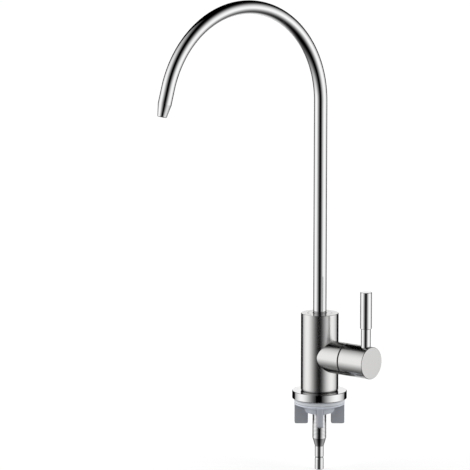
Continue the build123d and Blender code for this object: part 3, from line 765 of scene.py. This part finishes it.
def moulded_plastic(name, base, roughness, grain_size=SKIN_SIZE, relief=MOULDED_RELIEF, painted_shade_by=None):
    """Moulded plastic or rubber with a fine skin, and with slow changes of tone, or a given tint instead: for the
    nut, painted shade on its wings.
    """
    material, tree, inputs, spot = blank_material(name, base, 0.0, roughness)
    skin = place_effect(tree, moulded_grain, {"Place": spot, "Tone Size": TONE_SIZE, "Grain Size": grain_size})
    colours = painted_shade_by(tree, spot, base) if painted_shade_by else tones(tree, skin["Tone"], base, MOULDED_TONES)
    feed(tree, inputs, {
        "Base Color": colours,
        "Roughness": rough_by(tree, skin["Tone"], roughness),
        "Normal": bump(tree, skin["Height"], relief),
    })
    return material


# Each finish: its maker, its colour, the share of the colour, the roughness and the maker's own values
FINISHES = {
    "polished_steel_bright": (polished_metal, "polished", 1.0, 0.045, 0.08),
    "brushed_upright": (brushed_metal, "brushed", 1.0, 0.25, GRAIN_UPRIGHT, 0.3),
    # The port's and cap's steel and the cap's end face take less of the brushed colour than the body: painted shade
    # on one steel.
    "brushed_along_valve": (brushed_metal, "brushed", 0.86, 0.18, GRAIN_ALONG_VALVE),
    "brushed_face": (brushed_metal, "brushed", 0.94, 0.32, GRAIN_UPRIGHT),
    "turned_top": (brushed_metal, "brushed", 1.0, 0.16, GRAIN_UPRIGHT),
    # The nut's finish paints shade on its wings.
    "nut_plastic": (moulded_plastic, "nut", 1.0, 0.38, SKIN_SIZE, MOULDED_RELIEF, wing_tint),
    "washer_rubber": (moulded_plastic, "washer", 1.0, 0.5),
    "seal_rubber": (moulded_plastic, "black", 1.0, 0.6),
    "glide_plastic": (moulded_plastic, "black", 1.0, 0.42),
    "slip_plastic": (moulded_plastic, "slip", 1.0, 0.4),
    "valve_ceramic": (moulded_plastic, "ceramic", 1.0, 0.16, LAPPED_SIZE, LAPPED_RELIEF),
    "turned_brass": (brushed_metal, "brass", 1.0, 0.22, GRAIN_ALONG_BAR),
    "spring_wire": (brushed_metal, "spring", 1.0, 0.3, GRAIN_EVEN),
}


def finish(name):
    """The named finish, made on first use from the scene's colours."""
    make, base, times, *values = FINISHES[name]
    base = scaled(getattr(bpy.context.scene.tap_colours, base), times)
    return bpy.data.materials.get(name) or make(name, base, *values)


# ---------------------------------------------------------------- pieces


def spout_route(sizes):
    """Outer stations (centre, onward, radius) up to the tip; the spout's heading; the arch's end and direction."""
    heading = Vector((cos(sizes.heading), sin(sizes.heading), 0.0))
    arch_start = sizes.crown - sizes.arch_radius - sizes.tube_radius
    stations = []
    for step in range(RISER_STEPS):
        height = sizes.tube_foot + (arch_start - sizes.tube_foot) * step / RISER_STEPS
        stations.append((UP * height, UP, sizes.tube_radius))
    middle = heading * sizes.arch_radius + UP * arch_start
    for step in range(ARCH_STEPS + 1):
        turn = sizes.arch_sweep * step / ARCH_STEPS
        spoke = -heading * cos(turn) + UP * sin(turn)
        onward = heading * sin(turn) + UP * cos(turn)
        stations.append((middle + spoke * sizes.arch_radius, onward, sizes.tube_radius))
    end = stations[-1][0]

    def add(distance, radius):
        stations.append((end + onward * distance, onward, radius))

    straight = sizes.outlet_straight - sizes.kink_round
    for step in range(1, STRAIGHT_STEPS + 1):
        add(straight * step / STRAIGHT_STEPS, sizes.tube_radius)
    slope = (sizes.tube_radius - sizes.outlet_radius) / sizes.outlet_swage
    for step in range(1, KINK_STEPS + 1):
        along = step / KINK_STEPS
        add(straight + 2 * sizes.kink_round * along, sizes.tube_radius - slope * sizes.kink_round * along * along)
    tip = sizes.outlet_straight + sizes.outlet_swage
    lip_start = sizes.outlet_radius + slope * sizes.lip_round
    for step in range(ROUND_STEPS + 1):
        turn = radians(90) * step / ROUND_STEPS
        add(tip - sizes.lip_round * (1 - sin(turn)), lip_start - sizes.lip_round * (1 - cos(turn)))
    return stations, heading, end, onward


class TAP_OT_spout(bpy.types.Operator):
    """Bends the gooseneck tube with its swaged, hollow outlet, and turns the collar at its foot."""

    bl_idname = "tap.make_spout"
    bl_label = "Spout and Collar"

    def execute(self, context):
        sizes = context.scene.tap_spout
        stations, heading, end, onward = spout_route(sizes)
        bore = sizes.tube_radius - sizes.tube_wall
        tip = sizes.outlet_straight + sizes.outlet_swage
        stations.append((end + onward * tip, onward, sizes.outlet_radius - sizes.tube_wall))
        stations.append((end + onward * sizes.outlet_straight, onward, bore))
        for index in range(RISER_STEPS + ARCH_STEPS, RISER_STEPS - 1, -BORE_SKIP):
            stations.append((*stations[index][:2], bore))
        stations.append((*stations[0][:2], bore))
        side = UP.cross(heading)
        vertices = []
        for centre, along, radius in stations:
            outward = side.cross(along).normalized()
            for step in range(TUBE_STEPS):
                turn = 2 * pi * step / TUBE_STEPS
                vertices.append(centre + (outward * cos(turn) + side * sin(turn)) * radius)
        tube = new_piece("gooseneck_tube", vertices, tube_faces(len(stations), TUBE_STEPS))
        shade_by_angle(tube, SWEPT_LIMIT)
        dress(tube, ["polished_steel_bright"], "polished_steel", "spout", "spout_tube")

        foot, top = foot_of("spout_collar"), top_of("spout_collar")
        inner, outer, edge = sizes.tube_radius + sizes.collar_gap, sizes.collar_radius, sizes.collar_edge
        corners = [(inner, foot, 0), (outer, foot, 0), (outer, top, edge), (inner, top, edge)]
        collar = turned_piece("gland_collar", corners, COLLAR_STEPS)
        dress(collar, ["turned_top"], "brushed_body", "tap", "spout_collar")
        return {"FINISHED"}


class TAP_OT_body(bpy.types.Operator):
    """Turns the upright body and its side port, joins them, and bores their chambers."""

    bl_idname = "tap.make_body"
    bl_label = "Body and Port"

    def execute(self, context):
        sizes = context.scene.tap_body
        radius, chamber, shoulder = sizes.radius, sizes.chamber_radius, sizes.shoulder_radius
        foot, top, seat = foot_of("tap_body"), top_of("tap_body"), foot_of("spout_collar")
        collar_bore = context.scene.tap_spout.collar_radius + THREAD_GAP
        bar = turned_piece(
            "tap_body_skin",
            [
                (0, foot, 0), (radius, foot, sizes.foot_round), (radius, top, sizes.top_edge),
                (collar_bore, top, 0), (collar_bore, seat, 0), (shoulder, seat, 0),
                (shoulder, sizes.shoulder_floor, 0), (chamber, sizes.shoulder_floor, 0),
                (chamber, sizes.chamber_floor, 0), (0, sizes.chamber_floor, 0),
            ],
            BODY_STEPS,
        )
        inside = (chamber + sqrt(radius**2 - sizes.port_radius**2)) / 2
        port = turned_piece(
            "port",
            [
                (0, inside, 0), (sizes.port_radius, inside, 0),
                (sizes.port_radius, sizes.port_end, sizes.port_edge), (0, sizes.port_end, 0),
            ],
            BODY_STEPS,
            valve_lie(),
        )
        join_by(bar, "UNION", port)
        pocket_end = sizes.port_end + sizes.pocket_radius
        pocket = plug("pocket", sizes.pocket_radius, sizes.pocket_floor, pocket_end, ROD_STEPS, valve_lie())
        socket_start, socket_end = foot - sizes.socket_radius, foot + sizes.socket_depth
        socket = plug("socket", sizes.socket_radius, socket_start, socket_end, ROD_STEPS)
        join_by(bar, "DIFFERENCE", pocket, socket)
        shade_by_angle(bar, TURNED_LIMIT)
        for face in bar.data.polygons:
            if face.center.xy.length > radius + SEAT_GAP:
                face.material_index = 1
            if face.normal.z > END_FACE and face.center.z > top - sizes.top_edge:
                face.material_index = 2
        dress(bar, ["brushed_upright", "brushed_along_valve", "turned_top"], "brushed_body", "tap", "tap_body")
        return {"FINISHED"}


class TAP_OT_handle(bpy.types.Operator):
    """Turns the glide ring, the handle cap and the stepped lever."""

    bl_idname = "tap.make_handle"
    bl_label = "Handle"

    def execute(self, context):
        sizes = context.scene.tap_handle
        low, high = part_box("handle_cap")
        radius = half_width("handle_cap")
        pocket, bore = sizes.cap_pocket_radius, sizes.cap_bore_radius
        pocket_floor, bore_floor = low.x + sizes.cap_pocket_depth, low.x + sizes.cap_bore_depth
        cap = turned_piece(
            "handle_cap_skin",
            [
                (0, bore_floor, 0), (bore, bore_floor, 0), (bore, pocket_floor, 0), (pocket, pocket_floor, 0),
                (pocket, low.x, 0), (radius, low.x, context.scene.tap_body.port_edge),
                (radius, high.x, sizes.cap_edge), (0, high.x, 0),
            ],
            BODY_STEPS,
            valve_lie(),
        )
        lever_low, lever_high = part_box("lever")
        over_lever = Matrix.Translation(((lever_low.x + lever_high.x) / 2, 0, 0))
        screw_low, screw_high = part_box("grub_screw")
        over_screw = Matrix.Translation(((screw_low.x + screw_high.x) / 2, 0, 0))
        roof, tenon_floor = high.z + radius, lever_low.z - TENON_END_GAP
        lower, tenon, seat = sizes.lever_lower_radius, sizes.tenon_radius, sizes.lever_seat
        join_by(
            cap,
            "DIFFERENCE",
            plug("lever_seat", lower + SEAT_GAP, seat, roof, HOLE_STEPS, over_lever),
            plug("tenon_hole", tenon + SEAT_GAP, tenon_floor, roof, HOLE_STEPS, over_lever),
            plug("screw_hole", sizes.screw_radius, low.z - radius, handle_height(), HOLE_STEPS, over_screw),
        )
        shade_by_angle(cap, TURNED_LIMIT)
        for face in cap.data.polygons:
            if face.normal.x > END_FACE:
                face.material_index = 1
        dress(cap, ["brushed_along_valve", "brushed_face"], "brushed_body", "handle", "handle_cap")

        upper = half_width("lever")
        lever = turned_piece(
            "lever_rod",
            [
                (0, lever_low.z, 0), (tenon, lever_low.z, sizes.lever_edge), (tenon, seat, 0), (lower, seat, 0),
                (lower, sizes.lever_step, LEVER_STEP_LOWER_ROUND),
                (upper, sizes.lever_step + (upper - lower) / 2, LEVER_STEP_UPPER_ROUND),
                (upper, lever_high.z, sizes.lever_edge), (0, lever_high.z, 0),
            ],
            ROD_STEPS,
            over_lever,
        )
        dress(lever, ["polished_steel_bright"], "polished_steel", "handle", "lever")

        start, end = (corner.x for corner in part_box("glide_ring"))
        outer = half_width("glide_ring")
        corners = [(pocket, start, 0), (outer, start, RING_EDGE), (outer, end, RING_EDGE), (pocket, end, 0)]
        ring = turned_piece("glide_ring_skin", corners, RING_STEPS, valve_lie())
        dress(ring, ["glide_plastic"], "black_plastic", "tap", "glide_ring")
        return {"FINISHED"}


class TAP_OT_deck_pieces(bpy.types.Operator):
    """Turns the deck flange and the rubber washer, and rounds the moulded wing nut."""

    bl_idname = "tap.make_deck_pieces"
    bl_label = "Deck Flange, Washer and Wing Nut"

    def execute(self, context):
        sizes = context.scene.tap_deck
        foot, top, radius = foot_of("escutcheon"), top_of("escutcheon"), half_width("escutcheon")
        rim, bore = radius - sizes.flange_rim, sizes.flange_bore
        flange = turned_piece(
            "deck_flange",
            [
                (bore, sizes.flange_recess, 0), (rim, sizes.flange_recess, 0), (rim, foot, 0),
                (radius, foot, sizes.flange_foot), (radius, top, sizes.flange_edge), (bore, top, 0),
            ],
            BODY_STEPS,
        )
        dress(flange, ["polished_steel_bright"], "polished_steel", "tap", "escutcheon")

        name = "under_deck_washer"
        foot, top, radius = foot_of(name), top_of(name), half_width(name)
        bore, edge = sizes.washer_bore, sizes.washer_edge
        corners = [(bore, foot, 0), (radius, foot, edge), (radius, top, edge), (bore, top, 0)]
        washer = turned_piece("deck_washer_rubber", corners, RING_STEPS)
        dress(washer, ["washer_rubber"], "pale_rubber", "deck_washer", "under_deck_washer")

        nut = bpy.data.objects.new("wing_nut_moulding", frame["nodes"]["wing_nut"].data.copy())
        context.scene.collection.objects.link(nut)
        nut.data.materials.clear()
        remesh = nut.modifiers.new("cells", "REMESH")
        remesh.mode = "VOXEL"
        remesh.voxel_size = sizes.nut_voxel
        soften = nut.modifiers.new("soften", "SMOOTH")
        soften.factor = NUT_SOFTENING
        soften.iterations = sizes.nut_smoothing
        apply_modifiers(nut)
        nut.data.polygons.foreach_set("use_smooth", [True] * len(nut.data.polygons))
        dress(nut, ["nut_plastic"], "grey_plastic", "deck_nut", "wing_nut")
        return {"FINISHED"}


class TAP_OT_shank(bpy.types.Operator):
    """Turns the hollow shank with its cut thread, taper, stub and neck."""

    bl_idname = "tap.make_shank"
    bl_label = "Threaded Shank"

    def execute(self, context):
        sizes = context.scene.tap_shank
        low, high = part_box("threaded_shank")
        radius, bore, stub = half_width("threaded_shank"), sizes.bore_radius, sizes.stub_radius
        neck, half_neck, pitch = sizes.neck_height, sizes.neck_width / 2, sizes.thread_pitch
        outline = rounded_outline([
            (bore, low.z, 0),
            (stub, low.z, sizes.end_edge),
            (stub, neck - half_neck, NECK_EDGE),
            (stub - sizes.neck_depth, neck, NECK_FLOOR_ROUND),
            (stub, neck + half_neck, NECK_EDGE),
            (stub, sizes.taper_end, TAPER_FOOT_ROUND),
            (radius, sizes.thread_end, TAPER_HEAD_ROUND),
            (radius, high.z, 0),
        ])
        rings = [point for point, _ in outline[:-1]]
        start, run = sizes.thread_end + THREAD_START_GAP, sizes.thread_top - sizes.thread_end - THREAD_START_GAP
        count = int((sizes.thread_top - sizes.thread_end) / (pitch / ROWS_PER_TURN))
        rings += [Vector((radius, start + run * row / count)) for row in range(count + 1)]
        rings += [
            Vector((radius, high.z - SHANK_TOP_BREAK)), Vector((radius - SHANK_TOP_BREAK, high.z)),
            Vector((bore, high.z)),
        ]
        vertices = []
        for point in rings:
            fade = 0.0
            if abs(point.x - radius) < TOUCHING and point.y < sizes.thread_top:
                fade = min(1.0, max(0.0, (point.y - sizes.thread_end) / pitch))
                fade *= min(1.0, (sizes.thread_top - point.y) / pitch)
            for step in range(SHANK_STEPS):
                phase = 2 * pi * (point.y / pitch - step / SHANK_STEPS)
                dip = sizes.thread_depth * (0.5 - 0.5 * cos(phase)) ** VALLEY_POWER * fade
                vertices.append(spun(Vector((point.x - dip, point.y)), step, SHANK_STEPS))
        shank = new_piece("threaded_shank_rod", vertices, tube_faces(len(rings), SHANK_STEPS))
        shade_by_angle(shank, SWEPT_LIMIT)
        dress(shank, ["polished_steel_bright"], "polished_steel", "tap", "threaded_shank")
        return {"FINISHED"}


INNER_FINISHES = {
    "turned_brass": ("spout_spigot", "cartridge_housing", "spindle"),
    "seal_rubber": (
        "spout_o_ring_lower", "spout_o_ring_upper", "cartridge_seal", "cartridge_o_ring", "spindle_o_ring",
        "escutcheon_gasket", "shank_o_ring",
    ),
    "slip_plastic": ("slip_washer",),
    "valve_ceramic": ("fixed_disc", "moving_disc"),
    "spring_wire": ("spindle_clip", "grub_screw"),
}


class TAP_OT_inner_parts(bpy.types.Operator):
    """Gives the cartridge, seals, spigot, gasket and screw their finishes."""

    bl_idname = "tap.finish_inner_parts"
    bl_label = "Inner Parts"

    def execute(self, context):
        for finish_name, parts in INNER_FINISHES.items():
            for name in parts:
                materials = frame["nodes"][name].data.materials
                materials.clear()
                materials.append(finish(finish_name))
        return {"FINISHED"}


# ---------------------------------------------------------------- studio

# Steps of the tent and the floor, the floor's white, which hides its edge, the angle in degrees that each lamp
# covers, and how far the camera sees
TENT_STEPS = 48
TENT_ROWS = 24
FLOOR_STEPS = 96
FLOOR_WHITE = 1.03
LAMP_SPREAD = 50.0
VIEW_END = 60.0

# Each opening of the tent: its setting, how much narrower and flatter than round, its falloff, its strength
# and the flag that bounds it
TENT_OPENINGS = (
    ("left_box", 0.915, 0.58, 3.6, 1.04, "Sides"),
    ("right_box", 0.56, 0.60, 6.8, 1.0, "Sides"),
    ("back_box", 1.0, 1.0, 90.0, 0.95, "Above Floor"),
    ("low_box", 1.5, 1.0, 5.0, 0.8, "Below Rim"),
)


def bearing(turn, rise):
    """Unit vectors towards, across and above a direction given by its azimuth and elevation."""
    towards = Vector((cos(rise) * cos(turn), cos(rise) * sin(turn), sin(rise)))
    across = Vector((sin(turn), -cos(turn), 0.0))
    return towards, across, across.cross(towards)


def hide_from(item, *rays):
    """Hides an object from kinds of rays."""
    for kind in rays:
        setattr(item, "visible_" + kind, False)


def side_lamp(name, power, towards):
    """A distant, very soft lamp that lights matt surfaces and isn't mirrored in the metal."""
    light = bpy.data.lights.new(name, "SUN")
    light.energy = power
    light.angle = radians(LAMP_SPREAD)
    lamp = bpy.data.objects.new(name, light)
    lamp.location = towards
    lamp.rotation_euler = (-towards).to_track_quat("-Z", "Y").to_euler()
    hide_from(lamp, "glossy", "camera")
    bpy.context.scene.collection.objects.link(lamp)


def world_light(settings):
    """White studio: strength 1 for what is seen directly or in metal, and an even light on matt surfaces."""
    world = bpy.data.worlds.new("white_studio")
    tree = empty_tree(world)
    path = node(tree, "LightPath").outputs
    seen = math_node(tree, "MAXIMUM", path["Is Camera Ray"], path["Is Glossy Ray"])
    seen = math_node(tree, "MAXIMUM", seen, path["Is Transmission Ray"])
    strength = spread(tree, seen, onto=(settings.ambient, 1.0))
    background = node(tree, "Background", {"Color": (1.0, 1.0, 1.0, 1.0), "Strength": strength})
    node(tree, "OutputWorld", {"Surface": background.outputs[0]})
    world.cycles.sampling_method = "NONE"
    bpy.context.scene.world = world


def black_tent(settings):
    """Black tent with soft openings left, right and behind: what the polished metal mirrors."""
    material, tree, cloth, _ = blank_material("black_tent_cloth", (0.0, 0.0, 0.0), 0.0, 1.0)
    geometry = node(tree, "NewGeometry")
    direction = vector_node(tree, "NORMALIZE", geometry.outputs["Position"])[0]
    flags = place_effect(tree, tent_flags, {
        "Direction": direction,
        "Camera Side": bearing(settings.camera_azimuth - pi / 2, 0.0)[0],
        "Beside Camera": bearing(settings.camera_azimuth, 0.0)[0],
        "Slit Turn": settings.slit_turn,
        "Slit Half": settings.slit_half,
        "Side Reach": settings.side_reach,
    })
    total = 0.0
    for box, narrow, flat, falloff, strength, flag in TENT_OPENINGS:
        towards, across, upward = bearing(*getattr(settings, box))
        lobe = place_effect(tree, tent_opening, {
            "Direction": direction, "Towards": towards, "Across": across, "Upward": upward,
            "Narrow": narrow, "Flat": flat, "Falloff": falloff, "Strength": strength,
        })
        total = math_node(tree, "ADD", total, product(tree, lobe["Opening"], flags[flag]))
    depth = node(tree, "LightPath").outputs["Glossy Depth"]
    kept = spread(tree, depth, (1.0, 2.0), (1.0, settings.second_mirror))
    total = product(tree, math_node(tree, "MINIMUM", total, 1.0), kept)
    feed(tree, cloth, {"Specular IOR Level": 0.0, "Alpha": math_node(tree, "SUBTRACT", 1.0, total)})
    turns = [pi * row / TENT_ROWS for row in range(TENT_ROWS + 1)]
    rows = [(settings.tent_radius * sin(turn), -settings.tent_radius * cos(turn), 0) for turn in turns]
    tent = turned_piece("black_tent", rows, TENT_STEPS)
    tent.data.materials.append(material)
    hide_from(tent, "camera", "diffuse", "transmission", "shadow")


def pale_floor(settings):
    """Pale floor just below the stub, white to the eye, that keeps the tap's shadow and is clear from below."""
    material = bpy.data.materials.new("pale_floor_paint")
    tree = empty_tree(material)
    lit = settings.ambient + 2 * settings.side_light / pi * sin(settings.side_rise)
    grey = settings.floor_shade / lit
    paint = node(tree, "BsdfDiffuse", {"Color": (grey, grey, grey, 1.0)})
    glow = node(tree, "Emission", {"Strength": FLOOR_WHITE - settings.floor_shade})
    both = node(tree, "AddShader", {0: paint.outputs[0], 1: glow.outputs[0]})
    clear = node(tree, "BsdfTransparent")
    back = node(tree, "NewGeometry").outputs["Backfacing"]
    blend = node(tree, "MixShader", {"Fac": back, 1: both.outputs[0], 2: clear.outputs[0]})
    node(tree, "OutputMaterial", {"Surface": blend.outputs[0]})
    edge = Vector((settings.floor_radius, foot_of("threaded_shank") - settings.floor_gap))
    rim = [spun(edge, step, FLOOR_STEPS) for step in range(FLOOR_STEPS)]
    floor = new_piece("pale_floor", rim, [tuple(range(FLOOR_STEPS))])
    floor.data.materials.append(material)
    hide_from(floor, "glossy")


class TAP_OT_stage(bpy.types.Operator):
    """Sets up the camera, the white studio, the side lamps, the black tent and the pale floor."""

    bl_idname = "tap.make_stage"
    bl_label = "Studio"

    def execute(self, context):
        settings = context.scene.tap_studio
        context.scene.view_settings.view_transform = "Standard"
        camera = bpy.data.objects.new("photo_camera", bpy.data.cameras.new("photo_camera"))
        camera.data.lens = settings.camera_lens
        camera.data.clip_end = VIEW_END
        camera.location = settings.camera_place
        camera.rotation_euler = (radians(90) - settings.camera_tilt, 0.0, settings.camera_azimuth)
        context.scene.collection.objects.link(camera)
        context.scene.camera = camera
        world_light(settings)
        for name, box in (("left_lamp", settings.left_box), ("right_lamp", settings.right_box)):
            side_lamp(name, settings.side_light, bearing(box[0], settings.side_rise)[0])
        black_tent(settings)
        pale_floor(settings)
        return {"FINISHED"}


# ---------------------------------------------------------------- panel and registration


class TAP_PT_panel(bpy.types.Panel):
    """Lists the tap's pieces, their sizes and the studio."""

    bl_label = "Filter Tap"
    bl_idname = "TAP_PT_panel"
    bl_space_type = "VIEW_3D"
    bl_region_type = "UI"
    bl_category = "Filter Tap"

    def draw(self, context):
        for operator, settings_name, _ in STEPS:
            box = self.layout.box()
            box.operator(operator.bl_idname)
            settings = getattr(context.scene, settings_name)
            for key in settings.bl_rna.properties.keys():
                if key not in ("rna_type", "name"):
                    box.prop(settings, key)


# Each step: its operator, the name of its settings on the scene, and their group
STEPS = (
    (TAP_OT_spout, "tap_spout", SpoutSizes),
    (TAP_OT_body, "tap_body", BodySizes),
    (TAP_OT_handle, "tap_handle", HandleSizes),
    (TAP_OT_deck_pieces, "tap_deck", DeckSizes),
    (TAP_OT_shank, "tap_shank", ShankSizes),
    (TAP_OT_inner_parts, "tap_colours", FinishColours),
    (TAP_OT_stage, "tap_studio", StudioSettings),
)
CLASSES = (*(step[2] for step in STEPS), *(step[0] for step in STEPS), TAP_PT_panel)


def register():
    """Registers the classes and puts the settings on the scene."""
    for cls in CLASSES:
        bpy.utils.register_class(cls)
    for _, name, group in STEPS:
        setattr(bpy.types.Scene, name, PointerProperty(type=group))


def unregister():
    """Takes the settings and the classes away again."""
    for _, name, _ in STEPS:
        delattr(bpy.types.Scene, name)
    for cls in reversed(CLASSES):
        bpy.utils.unregister_class(cls)


def main():
    """Builds the pieces and the stage."""
    register()
    bpy.ops.tap.make_spout()
    bpy.ops.tap.make_body()
    bpy.ops.tap.make_handle()
    bpy.ops.tap.make_deck_pieces()
    bpy.ops.tap.make_shank()
    bpy.ops.tap.finish_inner_parts()
    bpy.ops.tap.make_stage()


if __name__ == "__main__":
    main()
